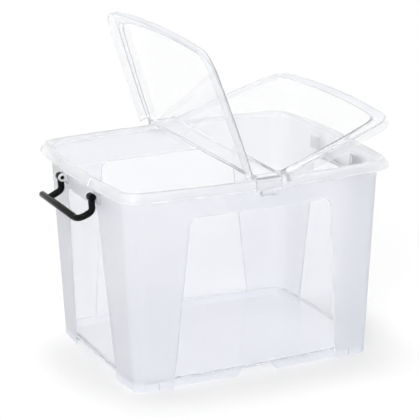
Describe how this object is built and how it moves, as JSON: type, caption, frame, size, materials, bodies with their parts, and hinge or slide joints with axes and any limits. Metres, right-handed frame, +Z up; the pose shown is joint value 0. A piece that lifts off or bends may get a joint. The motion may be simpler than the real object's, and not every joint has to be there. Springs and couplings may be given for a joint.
{
  "type": "portable file box",
  "caption": "Clear tapered storage box for files, with a flared rim, frosted corners and clear windows, a lid of flaps hinged on a central spine, and black bail handles at the ends.",
  "frame": {"origin": "on the ground under the middle of the box", "axes": "+X along the long side, the front long side faces -Y, +Z up"},
  "size_m": [0.4892, 0.3784, 0.503],
  "materials": {
    "tub_plastic": "translucent polypropylene, frosted at the corners and polished on the windows",
    "lid_plastic": "clear polished polypropylene",
    "handle_plastic": "glossy black"
  },
  "bodies": {
    "tub_body": {"tub": "tub_plastic", "lid_spine": "lid_plastic"},
    "left_flap": {"flap_left": "lid_plastic"},
    "right_flap": {"flap_right": "lid_plastic"},
    "left_handle": {"handle_left": "handle_plastic"},
    "right_handle": {"handle_right": "handle_plastic"}
  },
  "joints": [
    {"name": "left_flap_hinge", "type": "hinge", "parent": "tub_body", "child": "left_flap", "pos_m": [-0.02, 0, 0.3094], "axis": [0, 1, 0], "range_deg": [-71.3, 18.7]},
    {"name": "right_flap_hinge", "type": "hinge", "parent": "tub_body", "child": "right_flap", "pos_m": [0.02, 0, 0.3094], "axis": [0, -1, 0], "range_deg": [-18.5, 71.5]},
    {"name": "left_handle_pivot", "type": "hinge", "parent": "tub_body", "child": "left_handle", "pos_m": [-0.219, 0, 0.276], "axis": [0, 1, 0], "range_deg": [0, 100]},
    {"name": "right_handle_pivot", "type": "hinge", "parent": "tub_body", "child": "right_handle", "pos_m": [0.219, 0, 0.276], "axis": [0, -1, 0], "range_deg": [0, 100]}
  ]
}
